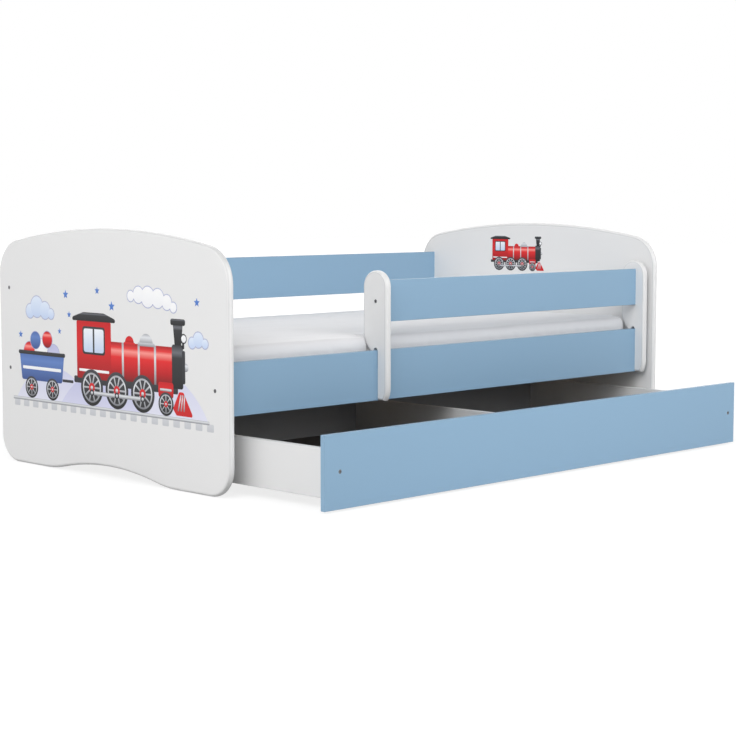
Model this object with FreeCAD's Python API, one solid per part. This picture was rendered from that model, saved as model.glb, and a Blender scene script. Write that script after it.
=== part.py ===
import FreeCAD, Part
import math
import os

# A child's single bed: two arched end panels, side rails, a rear guard board, a front guard on two
# hooked posts, a slatted base with its mattress, and one wide drawer on castors under the base.
# Millimetres. +X runs from the foot end to the head end, +Y from the open side to the wall, +Z up.
# The origin is on the floor, in the middle of the footprint with the drawer standing open.

Vector = FreeCAD.Vector

# End panels
inner_length = 1604.0
panel_thickness = 18.0
panel_width = 922.0
panel_height = 612.0
panel_arch_radius = 2200.0
panel_shoulder_radius = 90.0
panel_corner_radius = 70.0
panel_edge_radius = 7.5
foot_arch_half_span = 265.0
foot_arch_rise = 28.0
foot_arch_end_share = 0.29

# Side rails and guard boards
board_thickness = 16.0
board_edge_radius = 1.0
rail_setback = 42.0
rear_rail_setback = 38.0
rail_bottom = 184.0
rail_height = 125.0
rear_guard_gap = 85.0
rear_guard_height = 122.0
front_guard_gap = 70.0
front_guard_height = 104.0

# Guard posts
post_thickness = 20.0
post_reach_front = 29.0
post_reach_back = 52.0
post_overtop = 24.0
post_toe_radius = 61.0
post_toe_width = 9.0
post_edge_radius = 6.0
post_heel_radius = 60.0
post_lip_depth = 10.0
post_relief_radius = 6.5
post_slot_clearance = 0.2
entry_gap = 503.0
post_head_gap = 12.0

# Slatted base
ledger_depth = 18.0
ledger_height = 30.0
ledger_edge_radius = 2.0
slat_count = 12
slat_width = 70.0
slat_thickness = 14.0
slat_edge_radius = 3.0
slat_end_clearance = 1.0
slat_drop = 64.0

# Mattress, with heights as shares of its side and insets as shares of its edge radius
mattress_thickness = 100.0
mattress_crown = 5.0
mattress_crown_inset = 190.0
mattress_end_gap = 4.0
mattress_side_gap = 5.0
mattress_corner_radius = 48.0
mattress_edge_radius = 30.0
mattress_dent_gap = 3.0
mattress_dent_radius = 9.0
mattress_height_shares = (0.0, 0.05, 0.14, 0.30, 0.50, 0.66, 0.80, 0.90, 0.965, 1.0)
mattress_inset_shares = (0.62, 0.25, 0.04, 0.12, 0.20, 0.12, 0.04, 0.22, 0.58, 1.25)

# Drawer
drawer_open = 282.0
drawer_front_thickness = 13.0
drawer_foot_gap = 10.0
drawer_head_gap = 4.0
drawer_floor_gap = 5.0
drawer_rail_gap = 11.0
drawer_side_drop = 36.5
drawer_foot_inset = 39.0
drawer_head_inset = 22.0
drawer_inner_depth = 694.0
drawer_bottom_thickness = 3.0
groove_depth = 6.0
groove_clearance = 0.2

# Castors
castor_strip_width = 60.0
castor_strip_inset = 24.0
castor_end_distance = 62.0
wheel_radius = 10.0
wheel_tread_width = 8.0
wheel_edge_radius = 1.5
wheel_web_recess = 1.2
wheel_hub_radius = 4.2
wheel_rim_depth = 2.6
wheel_side_clearance = 0.3
wheel_top_clearance = 3.5
fork_sheet = 1.5
fork_plate_length = 46.0
fork_plate_corner_radius = 4.0
fork_leg_top_length = 22.0
fork_leg_end_radius = 4.6
fork_screw_spacing = 33.0
axle_radius = 2.0
axle_head_radius = 3.2
axle_head_height = 0.9
axle_clearance = 0.05

# Fasteners
connector_head_radius = 4.8
connector_head_height = 3.2
connector_shank_radius = 3.5
connector_bite = 31.0
connector_tip = 3.0
connector_sink = 0.4
socket_radius = 2.5
socket_depth = 2.6
socket_sides = 6
wood_screw_head_radius = 3.6
wood_screw_head_height = 2.2
wood_screw_shank_radius = 1.9
wood_screw_tip = 3.0
post_screw_bite = 18.0
post_screw_drop = 20.0
post_screw_pitch = 32.0
ledger_screw_bite = 11.0
slat_screw_bite = 18.0
castor_screw_bite = 11.0
dowel_radius = 4.0
dowel_face_depth = 11.0
dowel_end_depth = 23.0
dowel_edge_distance = 28.0
dowel_chamfer = 0.8
dowel_strip_spacing = 30.0
hole_clearance = 0.1
hole_end_clearance = 0.6
cut_overrun = 5.0

# Places along the bed
foot_face = -inner_length / 2
head_face = inner_length / 2
drawer_face = -(drawer_open + panel_width) / 2
panel_front = drawer_face + drawer_open
panel_back = panel_front + panel_width
panel_middle = (panel_front + panel_back) / 2
rail_front = panel_front + rail_setback
rail_inner = rail_front + board_thickness
rear_rail_back = panel_back - rear_rail_setback
rear_rail_inner = rear_rail_back - board_thickness

# Heights of the frame
rail_top = rail_bottom + rail_height
rear_guard_bottom = rail_top + rear_guard_gap
front_guard_bottom = rail_top + front_guard_gap
front_guard_top = front_guard_bottom + front_guard_height
post_top = front_guard_top + post_overtop
slat_top = rail_top - slat_drop
ledger_top = slat_top - slat_thickness
ledger_bottom = ledger_top - ledger_height

# Places of the guard posts
post_front = rail_front - post_reach_front
post_back = rail_front + post_reach_back
post_slot_front = rail_front - post_slot_clearance
post_slot_back = rail_inner + post_slot_clearance
middle_post_foot = foot_face + entry_gap
middle_post_head = middle_post_foot + post_thickness
head_post_head = head_face - post_head_gap
head_post_foot = head_post_head - post_thickness

# Places of the drawer
castor_height = 2 * wheel_radius + wheel_top_clearance + fork_sheet
drawer_front_foot = foot_face + drawer_foot_gap
drawer_front_head = head_face - drawer_head_gap
drawer_front_back = drawer_face + drawer_front_thickness
drawer_front_top = rail_bottom - drawer_rail_gap
drawer_front_middle = (drawer_floor_gap + drawer_front_top) / 2
drawer_side_bottom = castor_height
drawer_side_top = drawer_front_top - drawer_side_drop
drawer_foot_outer = drawer_front_foot + drawer_foot_inset
drawer_foot_inner = drawer_foot_outer + board_thickness
drawer_head_outer = drawer_front_head - drawer_head_inset
drawer_head_inner = drawer_head_outer - board_thickness
drawer_back_front = drawer_front_back + drawer_inner_depth
drawer_back_end = drawer_back_front + board_thickness
divider_foot = (drawer_foot_inner + drawer_head_inner - board_thickness) / 2
divider_head = divider_foot + board_thickness
drawer_floor_bottom = drawer_side_bottom + board_thickness
drawer_floor_top = drawer_floor_bottom + drawer_bottom_thickness

# How far the middle of a quarter arc lies from its corner, along each side, as a share of its radius
arc_middle_share = 1 - math.sqrt(1 / 2)

pieces = {}
holes = {}


def line(start, end):
    return Part.LineSegment(start, end).toShape()


def arc(start, middle, end):
    return Part.Arc(start, middle, end).toShape()


def solid_from(edges, direction):
    return Part.Face(Part.Wire(edges)).extrude(direction)


def block(x0, x1, y0, y1, z0, z1):
    return Part.makeBox(x1 - x0, y1 - y0, z1 - z0, Vector(x0, y0, z0))


def rounded(solid, radius, picks):
    edges = [edge for edge in solid.Edges if picks(edge)]
    return solid.makeFillet(radius, edges)


def runs_along(axis):
    def picks(edge):
        box = edge.BoundBox
        lengths = {"x": box.XLength, "y": box.YLength, "z": box.ZLength}
        return lengths[axis] > edge.Length / 2

    return picks


def board(x0, x1, y0, y1, z0, z1, axis, radius=board_edge_radius):
    return rounded(block(x0, x1, y0, y1, z0, z1), radius, runs_along(axis))


def placed(shape, point, direction):
    shape.Placement = FreeCAD.Placement(point, FreeCAD.Rotation(Vector(0, 0, 1), direction))
    return shape


def revolved(profile):
    points = [Vector(radius, 0, height) for radius, height in profile]
    face = Part.Face(Part.makePolygon(points + points[:1]))
    return face.revolve(Vector(0, 0, 0), Vector(0, 0, 1), 360)


def drill(nodes, cutter):
    for node in nodes:
        holes.setdefault(node, []).append(cutter)


def joined(name, solid):
    pieces.setdefault(name, []).append(solid)


# Fasteners point away from their heads. Each one also leaves its own hole in the pieces that it joins.

def countersunk_profile(head_radius, head_height, shank_radius, tip, length):
    profile = [(0, 0), (head_radius, 0), (shank_radius, head_height)]
    return profile + [(shank_radius, length - tip), (0, length)]


def countersunk_hole(head_radius, head_height, shank_radius, sink, length):
    wide = head_radius + hole_clearance
    narrow = shank_radius + hole_clearance
    end = length + hole_end_clearance
    profile = [(0, -sink - cut_overrun), (wide, -sink - cut_overrun), (wide, 0)]
    return revolved(profile + [(narrow, head_height), (narrow, end), (0, end)])


def connector(name, nodes, surface, direction, thickness):
    length = thickness - connector_sink + connector_bite
    head = surface + direction * connector_sink
    sizes = (connector_head_radius, connector_head_height, connector_shank_radius)
    screw = revolved(countersunk_profile(*sizes, connector_tip, length))
    first = Vector(socket_radius, 0, -cut_overrun)
    turns = [FreeCAD.Rotation(Vector(0, 0, 1), side * 360 / socket_sides) for side in range(socket_sides)]
    corners = [turn.multVec(first) for turn in turns]
    socket = Part.Face(Part.makePolygon(corners + corners[:1]))
    screw = screw.cut(socket.extrude(Vector(0, 0, cut_overrun + socket_depth)))
    joined(name, placed(screw, head, direction))
    drill(nodes, placed(countersunk_hole(*sizes, connector_sink, length), head, direction))


def wood_screw(name, nodes, head, direction, thickness, bite):
    length = thickness + bite
    sizes = (wood_screw_head_radius, wood_screw_head_height, wood_screw_shank_radius)
    screw = revolved(countersunk_profile(*sizes, wood_screw_tip, length))
    joined(name, placed(screw, head, direction))
    drill(nodes, placed(countersunk_hole(*sizes, 0, length), head, direction))


def dowel(name, nodes, joint_point, direction):
    start = joint_point - direction * dowel_face_depth
    length = dowel_face_depth + dowel_end_depth
    shoulder = dowel_radius - dowel_chamfer
    profile = [(0, 0), (shoulder, 0), (dowel_radius, dowel_chamfer), (dowel_radius, length - dowel_chamfer)]
    joined(name, placed(revolved(profile + [(shoulder, length), (0, length)]), start, direction))
    bore = Part.makeCylinder(dowel_radius + hole_clearance, length + 2 * hole_end_clearance)
    drill(nodes, placed(bore, start - direction * hole_end_clearance, direction))


def end_joint(names, panel, board_node, x, direction, y, z0, z1, thickness):
    outside = Vector(x, y, (z0 + z1) / 2) - direction * thickness
    connector(names[0], (panel, board_node), outside, direction, thickness)
    for z in (z0 + dowel_edge_distance, z1 - dowel_edge_distance):
        dowel(names[1], (panel, board_node), Vector(x, y, z), direction)


# End panels: an arched top with round shoulders, round lower corners and two feet with a low arch between.

def panel_outline(x):
    half = panel_width / 2
    arch_centre = panel_height - panel_arch_radius
    shoulder_y = half - panel_shoulder_radius
    reach = panel_arch_radius - panel_shoulder_radius
    shoulder_z = arch_centre + math.sqrt(reach ** 2 - shoulder_y ** 2)
    lean = math.asin(shoulder_y / reach)
    curve_sum = (foot_arch_half_span ** 2 + foot_arch_rise ** 2) / (2 * foot_arch_rise)
    end_radius = curve_sum * foot_arch_end_share
    top_radius = curve_sum - end_radius
    sweep = math.asin(foot_arch_half_span / curve_sum)

    def point(y, z):
        return Vector(x, panel_middle + y, z)

    def around(y, z, radius, angle):
        return point(y + radius * math.sin(angle), z + radius * math.cos(angle))

    def half_edges(side):
        top = point(0, panel_height)
        arch_middle = around(0, arch_centre, panel_arch_radius, side * lean / 2)
        arch_end = around(0, arch_centre, panel_arch_radius, side * lean)
        turn = (lean + math.pi / 2) / 2
        shoulder_middle = around(side * shoulder_y, shoulder_z, panel_shoulder_radius, side * turn)
        shoulder_end = point(side * half, shoulder_z)
        corner_start = point(side * half, panel_corner_radius)
        radius = panel_corner_radius
        corner_y = half - radius
        corner_middle = around(side * corner_y, radius, radius, side * 3 * math.pi / 4)
        corner_end = point(side * corner_y, 0)
        foot_end = point(side * foot_arch_half_span, 0)
        rise_middle = around(side * foot_arch_half_span, end_radius, end_radius, math.pi + side * sweep / 2)
        rise_end = around(side * foot_arch_half_span, end_radius, end_radius, math.pi + side * sweep)
        crown_middle = around(0, foot_arch_rise - top_radius, top_radius, side * sweep / 2)
        crown = point(0, foot_arch_rise)
        return [
            arc(top, arch_middle, arch_end),
            arc(arch_end, shoulder_middle, shoulder_end),
            line(shoulder_end, corner_start),
            arc(corner_start, corner_middle, corner_end),
            line(corner_end, foot_end),
            arc(foot_end, rise_middle, rise_end),
            arc(rise_end, crown_middle, crown),
        ]

    return half_edges(1) + half_edges(-1)


def end_panel(x):
    edges = Part.__sortEdges__(panel_outline(x))
    panel = solid_from(edges, Vector(panel_thickness, 0, 0))
    return rounded(panel, panel_edge_radius, lambda edge: not runs_along("x")(edge))


pieces["footboard"] = end_panel(foot_face - panel_thickness)
pieces["headboard"] = end_panel(head_face)

# Side rails and the rear guard board, each held to both end panels by a connector and two dowels an end

long_boards = {
    "front_side_rail": (rail_front, rail_bottom, rail_height),
    "rear_side_rail": (rear_rail_inner, rail_bottom, rail_height),
    "rear_guard_board": (rear_rail_inner, rear_guard_bottom, rear_guard_height),
}
for name, (y, z, height) in long_boards.items():
    pieces[name] = board(foot_face, head_face, y, y + board_thickness, z, z + height, "x")
    for panel, x, way in (("footboard", foot_face, 1), ("headboard", head_face, -1)):
        fasteners = ("frame_screws", "frame_dowels")
        middle = y + board_thickness / 2
        end_joint(fasteners, panel, name, x, Vector(way, 0, 0), middle, z, z + height, panel_thickness)

# Guard posts: each hooks over the front rail, with a long leg outside, a short lip inside and a round top

def post_outline(x):
    front, back = post_front, post_back
    slot_front, slot_back = post_slot_front, post_slot_back
    slot_middle = (slot_front + slot_back) / 2
    top_radius = (back - front) / 2
    top_z = post_top - top_radius
    lip_bottom = rail_top - post_lip_depth
    heel_width = back - slot_back
    heel_rise = math.sqrt(post_heel_radius ** 2 - (post_heel_radius - heel_width) ** 2)
    heel_top = lip_bottom + heel_rise
    heel_angle = math.acos((post_heel_radius - heel_width) / post_heel_radius) / 2
    toe_rise = math.sqrt(post_toe_radius ** 2 - (post_toe_radius - post_toe_width) ** 2)
    toe_z = rail_bottom + toe_rise
    toe_angle = math.acos((post_toe_radius - post_toe_width) / post_toe_radius) / 2

    def point(y, z):
        return Vector(x, y, z)

    heel_y = back - post_heel_radius
    heel_middle = point(
        heel_y + post_heel_radius * math.cos(heel_angle),
        heel_top - post_heel_radius * math.sin(heel_angle),
    )
    toe_y = front + post_toe_radius
    toe_top = point(front, toe_z)
    toe_middle = point(
        toe_y - post_toe_radius * math.cos(toe_angle),
        toe_z - post_toe_radius * math.sin(toe_angle),
    )
    toe_end = point(front + post_toe_width, rail_bottom)
    relief_front = point(slot_middle - post_relief_radius, rail_top)
    relief_top = point(slot_middle, rail_top + post_relief_radius)
    relief_back = point(slot_middle + post_relief_radius, rail_top)
    outside = [
        line(point(slot_front, rail_bottom), toe_end),
        arc(toe_end, toe_middle, toe_top),
        line(toe_top, point(front, top_z)),
        arc(point(front, top_z), point(front + top_radius, post_top), point(back, top_z)),
        line(point(back, top_z), point(back, heel_top)),
        arc(point(back, heel_top), heel_middle, point(slot_back, lip_bottom)),
    ]
    slot = [
        line(point(slot_back, lip_bottom), point(slot_back, rail_top)),
        line(point(slot_back, rail_top), relief_back),
        arc(relief_back, relief_top, relief_front),
        line(relief_front, point(slot_front, rail_top)),
        line(point(slot_front, rail_top), point(slot_front, rail_bottom)),
    ]
    return outside, slot


def guard_post(x):
    outside, slot = post_outline(x)
    post = solid_from(outside + slot, Vector(post_thickness, 0, 0))

    def is_outer(edge):
        middle = edge.BoundBox.Center
        in_slot = post_slot_front - post_slot_clearance < middle.y < post_slot_back + post_slot_clearance
        low = middle.z < rail_top + post_relief_radius
        return not runs_along("x")(edge) and not (in_slot and low)

    return rounded(post, post_edge_radius, is_outer)


posts = {"guard_post_middle": middle_post_foot, "guard_post_head": head_post_foot}
for name, x in posts.items():
    pieces[name] = guard_post(x)
    for row in range(2):
        z = rail_top - post_screw_drop - row * post_screw_pitch
        head = Vector(x + post_thickness / 2, rail_inner, z)
        nodes = ("front_side_rail", name)
        wood_screw("post_screws", nodes, head, Vector(0, -1, 0), board_thickness, post_screw_bite)

# Front guard board between the posts, in line with the rail below it

pieces["front_guard_board"] = board(
    middle_post_head, head_post_foot, rail_front, rail_inner, front_guard_bottom, front_guard_top, "x"
)
for post, x, way in (("guard_post_middle", middle_post_head, 1), ("guard_post_head", head_post_foot, -1)):
    fasteners = ("guard_screws", "guard_dowels")
    y = (rail_front + rail_inner) / 2
    heights = (front_guard_bottom, front_guard_top)
    end_joint(fasteners, post, "front_guard_board", x, Vector(way, 0, 0), y, *heights, post_thickness)

# Slatted base: two ledgers along the rails, with the slats screwed down across them

ledgers = {
    "front_slat_ledger": (rail_inner, "front_side_rail", 1),
    "rear_slat_ledger": (rear_rail_inner - ledger_depth, "rear_side_rail", -1),
}
slat_pitch = inner_length / slat_count
for name, (y, rail, inward) in ledgers.items():
    sizes = (foot_face, head_face, y, y + ledger_depth, ledger_bottom, ledger_top)
    pieces[name] = board(*sizes, "x", ledger_edge_radius)
    face = y + ledger_depth if inward > 0 else y
    for gap in range(1, slat_count, 2):
        head = Vector(foot_face + gap * slat_pitch, face, (ledger_bottom + ledger_top) / 2)
        away = Vector(0, -inward, 0)
        wood_screw("ledger_screws", (name, rail), head, away, ledger_depth, ledger_screw_bite)

for number in range(slat_count):
    name = f"slat_{number + 1:02d}"
    middle = foot_face + (number + 1 / 2) * slat_pitch
    x0 = middle - slat_width / 2
    y0 = rail_inner + slat_end_clearance
    y1 = rear_rail_inner - slat_end_clearance
    pieces[name] = board(x0, x0 + slat_width, y0, y1, ledger_top, slat_top, "y", slat_edge_radius)
    for ledger, (y, rail, inward) in ledgers.items():
        head = Vector(middle, y + ledger_depth / 2, slat_top)
        wood_screw("slat_screws", (name, ledger), head, Vector(0, 0, -1), slat_thickness, slat_screw_bite)

# Mattress: a low crown, round edges and sides that draw in, dented where the guard posts lean on it

def rounded_rectangle(x0, x1, y0, y1, z, radius):
    diagonal = radius * arc_middle_share
    edges = []
    corners = [(x0, y0, 1, 1), (x1, y0, -1, 1), (x1, y1, -1, -1), (x0, y1, 1, -1)]
    for index, (x, y, to_x, to_y) in enumerate(corners):
        along_y = Vector(x, y + to_y * radius, z)
        along_x = Vector(x + to_x * radius, y, z)
        middle = Vector(x + to_x * diagonal, y + to_y * diagonal, z)
        start, end = (along_y, along_x) if index % 2 == 0 else (along_x, along_y)
        if edges:
            edges.append(line(edges[-1].Vertexes[-1].Point, start))
        edges.append(arc(start, middle, end))
    edges.append(line(edges[-1].Vertexes[-1].Point, edges[0].Vertexes[0].Point))
    return Part.Wire(edges)


def mattress_section(inset, height):
    x0 = foot_face + mattress_end_gap + inset
    x1 = head_face - mattress_end_gap - inset
    y0 = rail_inner + mattress_side_gap + inset
    y1 = rear_rail_inner - mattress_side_gap - inset
    return rounded_rectangle(x0, x1, y0, y1, slat_top + height, mattress_corner_radius)


def mattress_dent(x0, x1):
    y0 = rail_inner - cut_overrun
    y1 = post_back + mattress_dent_gap
    z0 = rail_top - post_lip_depth - mattress_dent_gap
    z1 = slat_top + mattress_thickness + cut_overrun
    return rounded(block(x0, x1, y0, y1, z0, z1), mattress_dent_radius, runs_along("z"))


side_height = mattress_thickness - mattress_crown
sections = []
for height_share, inset_share in zip(mattress_height_shares, mattress_inset_shares):
    sections.append(mattress_section(inset_share * mattress_edge_radius, height_share * side_height))
sections.append(mattress_section(mattress_crown_inset, mattress_thickness))
mattress = Part.makeLoft(sections, True, True)
middle_dent = mattress_dent(middle_post_foot - mattress_dent_gap, middle_post_head + mattress_dent_gap)
head_dent = mattress_dent(head_post_foot - mattress_dent_gap, head_face + cut_overrun)
pieces["mattress"] = mattress.cut([middle_dent, head_dent])

# Drawer: a long front, two sides, a back between them, a divider and two grooved-in floors

front_ends = (drawer_front_foot, drawer_front_head)
front_faces = (drawer_face, drawer_front_back)
front_heights = (drawer_floor_gap, drawer_front_top)
front_block = block(*front_ends, *front_faces, *front_heights)
pieces["drawer_front"] = rounded(front_block, board_edge_radius, lambda edge: True)
drawer_heights = (drawer_side_bottom, drawer_side_top)
uprights = {
    "drawer_side_foot": (drawer_foot_outer, drawer_back_end),
    "drawer_side_head": (drawer_head_inner, drawer_back_end),
    "drawer_divider": (divider_foot, drawer_back_front),
}
for name, (x, y1) in uprights.items():
    pieces[name] = board(x, x + board_thickness, drawer_front_back, y1, *drawer_heights, "y")
pieces["drawer_back"] = board(
    drawer_foot_inner, drawer_head_inner, drawer_back_front, drawer_back_end, *drawer_heights, "x"
)

floors = {
    "drawer_bottom_foot": (drawer_foot_inner, divider_foot, ("drawer_side_foot", "drawer_divider")),
    "drawer_bottom_head": (divider_head, drawer_head_inner, ("drawer_divider", "drawer_side_head")),
}
for name, (x0, x1, walls) in floors.items():
    inset = groove_depth - groove_clearance
    y0 = drawer_front_back - inset
    y1 = drawer_back_front + inset
    pieces[name] = block(x0 - inset, x1 + inset, y0, y1, drawer_floor_bottom, drawer_floor_top)
    roof = drawer_floor_top + groove_clearance
    groove = (y0 - groove_clearance, y1 + groove_clearance, drawer_floor_bottom, roof)
    drill(walls + ("drawer_front", "drawer_back"), block(x0 - groove_depth, x1 + groove_depth, *groove))

side_middles = {
    "drawer_side_foot": (drawer_foot_outer + drawer_foot_inner) / 2,
    "drawer_side_head": (drawer_head_outer + drawer_head_inner) / 2,
    "drawer_divider": (divider_foot + divider_head) / 2,
}
low_joint = drawer_side_bottom + dowel_edge_distance
high_joint = drawer_side_top - dowel_edge_distance
back_middle = (drawer_back_front + drawer_back_end) / 2
divider_middle = side_middles["drawer_divider"]
for name, x in side_middles.items():
    for z in (low_joint, high_joint):
        dowel("drawer_dowels", ("drawer_front", name), Vector(x, drawer_front_back, z), Vector(0, 1, 0))
    if name != "drawer_divider":
        head = Vector(x, drawer_face, drawer_front_middle)
        connector("drawer_screws", ("drawer_front", name), head, Vector(0, 1, 0), drawer_front_thickness)

for z in (low_joint, high_joint):
    back_screws = (
        ("drawer_side_foot", "drawer_back", Vector(drawer_foot_outer, back_middle, z), Vector(1, 0, 0)),
        ("drawer_side_head", "drawer_back", Vector(drawer_head_outer, back_middle, z), Vector(-1, 0, 0)),
        ("drawer_back", "drawer_divider", Vector(divider_middle, drawer_back_end, z), Vector(0, -1, 0)),
    )
    for outer, inner, head, way in back_screws:
        connector("drawer_screws", (outer, inner), head, way, board_thickness)

# Castors: a bearer strip under the drawer floor at each end, with a fixed castor near each end of it

def castor_fork(x, y):
    inside = wheel_tread_width / 2 + wheel_side_clearance
    outside = inside + fork_sheet
    plate_bottom = castor_height - fork_sheet
    half_plate = fork_plate_length / 2
    half_top = fork_leg_top_length / 2
    plate = block(x - outside, x + outside, y - half_plate, y + half_plate, plate_bottom, castor_height)
    fork = rounded(plate, fork_plate_corner_radius, runs_along("z"))
    lean = math.asin((half_top - fork_leg_end_radius) / math.hypot(half_top, plate_bottom - wheel_radius))
    side_y = fork_leg_end_radius * math.cos(lean)
    side_z = wheel_radius - fork_leg_end_radius * math.sin(lean)

    def leg(leg_x):
        front_top = Vector(leg_x, y - half_top, plate_bottom)
        back_top = Vector(leg_x, y + half_top, plate_bottom)
        front_side = Vector(leg_x, y - side_y, side_z)
        back_side = Vector(leg_x, y + side_y, side_z)
        lowest = Vector(leg_x, y, wheel_radius - fork_leg_end_radius)
        edges = [
            line(front_top, back_top),
            line(back_top, back_side),
            arc(back_side, lowest, front_side),
            line(front_side, front_top),
        ]
        return solid_from(edges, Vector(fork_sheet, 0, 0))

    fork = fork.fuse([leg(x - outside), leg(x + inside)])
    reach = outside + cut_overrun
    bore = Part.makeCylinder(axle_radius + axle_clearance, 2 * reach)
    bore = placed(bore, Vector(x - reach, y, wheel_radius), Vector(1, 0, 0))
    return fork.cut(bore).removeSplitter()


def castor_wheel(x, y):
    half = wheel_tread_width / 2
    web = half - wheel_web_recess
    rim = wheel_radius - wheel_rim_depth
    bore = axle_radius + axle_clearance
    shoulder = wheel_radius - wheel_edge_radius
    tread = half - wheel_edge_radius
    hub = wheel_hub_radius
    upper = [(wheel_radius, tread), (shoulder, half), (rim, half), (rim, web)]
    upper += [(hub, web), (hub, half), (bore, half)]
    lower = [(radius, -height) for radius, height in reversed(upper)]
    return placed(revolved(lower + upper), Vector(x, y, wheel_radius), Vector(1, 0, 0))


def castor_axle(x, y):
    outside = wheel_tread_width / 2 + wheel_side_clearance + fork_sheet
    tip = outside + axle_head_height
    profile = [(0, -tip), (axle_head_radius, -tip), (axle_head_radius, -outside), (axle_radius, -outside)]
    profile += [(axle_radius, outside), (axle_head_radius, outside), (axle_head_radius, tip), (0, tip)]
    return placed(revolved(profile), Vector(x, y, wheel_radius), Vector(1, 0, 0))


strips = {
    "foot": drawer_foot_inner + castor_strip_inset,
    "head": drawer_head_inner - castor_strip_inset - castor_strip_width,
}
castor_rows = {
    "front": drawer_front_back + castor_end_distance,
    "back": drawer_back_front - castor_end_distance,
}
for end, x0 in strips.items():
    strip = f"castor_strip_{end}"
    middle = x0 + castor_strip_width / 2
    sizes = (x0, x0 + castor_strip_width, drawer_front_back, drawer_back_front)
    pieces[strip] = block(*sizes, drawer_side_bottom, drawer_floor_bottom)
    strip_z = (drawer_side_bottom + drawer_floor_bottom) / 2
    for side in (-1, 1):
        x = middle + side * dowel_strip_spacing / 2
        for wall, y, way in (("drawer_front", drawer_front_back, 1), ("drawer_back", drawer_back_front, -1)):
            dowel("drawer_dowels", (wall, strip), Vector(x, y, strip_z), Vector(0, way, 0))
    for row, y in castor_rows.items():
        fork = f"castor_fork_{end}_{row}"
        pieces[fork] = castor_fork(middle, y)
        pieces[f"castor_wheel_{end}_{row}"] = castor_wheel(middle, y)
        pieces[f"castor_axle_{end}_{row}"] = castor_axle(middle, y)
        for side in (-1, 1):
            head = Vector(middle, y + side * fork_screw_spacing / 2, castor_height - fork_sheet)
            wood_screw("castor_screws", (fork, strip), head, Vector(0, 0, 1), fork_sheet, castor_screw_bite)

# Every piece with its holes, one file each

os.makedirs("parts", exist_ok=True)
for name, shape in pieces.items():
    if isinstance(shape, list):
        shape = Part.makeCompound(shape)
    if name in holes:
        shape = shape.cut(holes[name])
    if not shape.isValid():
        raise ValueError(f"{name} is not a valid solid")
    shape.exportStep(f"parts/{name}.step")
    print(name, len(shape.Solids), round(shape.Volume))
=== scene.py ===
import bmesh
import bpy
import math
from mathutils import Matrix, Vector, noise


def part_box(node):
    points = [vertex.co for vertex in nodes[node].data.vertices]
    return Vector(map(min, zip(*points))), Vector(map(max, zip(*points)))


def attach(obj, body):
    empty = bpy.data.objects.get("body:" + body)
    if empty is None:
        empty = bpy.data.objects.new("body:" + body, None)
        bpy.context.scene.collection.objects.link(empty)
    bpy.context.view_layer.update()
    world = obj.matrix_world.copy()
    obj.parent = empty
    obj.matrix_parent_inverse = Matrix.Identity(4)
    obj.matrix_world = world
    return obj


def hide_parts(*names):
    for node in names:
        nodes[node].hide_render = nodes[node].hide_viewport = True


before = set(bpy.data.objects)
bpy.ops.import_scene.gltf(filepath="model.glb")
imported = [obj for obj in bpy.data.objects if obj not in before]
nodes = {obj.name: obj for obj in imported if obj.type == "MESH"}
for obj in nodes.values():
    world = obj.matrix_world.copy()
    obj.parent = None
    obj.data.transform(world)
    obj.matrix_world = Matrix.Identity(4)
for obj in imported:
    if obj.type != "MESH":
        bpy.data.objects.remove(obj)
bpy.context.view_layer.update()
scene = bpy.context.scene
mm = 0.001


# Shader kit

class Wire:  # one socket; sums on it add Math nodes
    def __init__(self, finish, socket):
        self.finish = finish
        self.socket = socket

    def maths(self, operation, first, second=0.0):
        return self.finish.node("ShaderNodeMath", {"operation": operation}, {0: first, 1: second})

    def __add__(self, other):
        return self.maths("ADD", self, other)

    def __radd__(self, other):
        return self.maths("ADD", other, self)

    def __sub__(self, other):
        return self.maths("SUBTRACT", self, other)

    def __rsub__(self, other):
        return self.maths("SUBTRACT", other, self)

    def __mul__(self, other):
        return self.maths("MULTIPLY", self, other)

    def __rmul__(self, other):
        return self.maths("MULTIPLY", other, self)

    def __abs__(self):
        return self.maths("ABSOLUTE", self)


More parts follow.
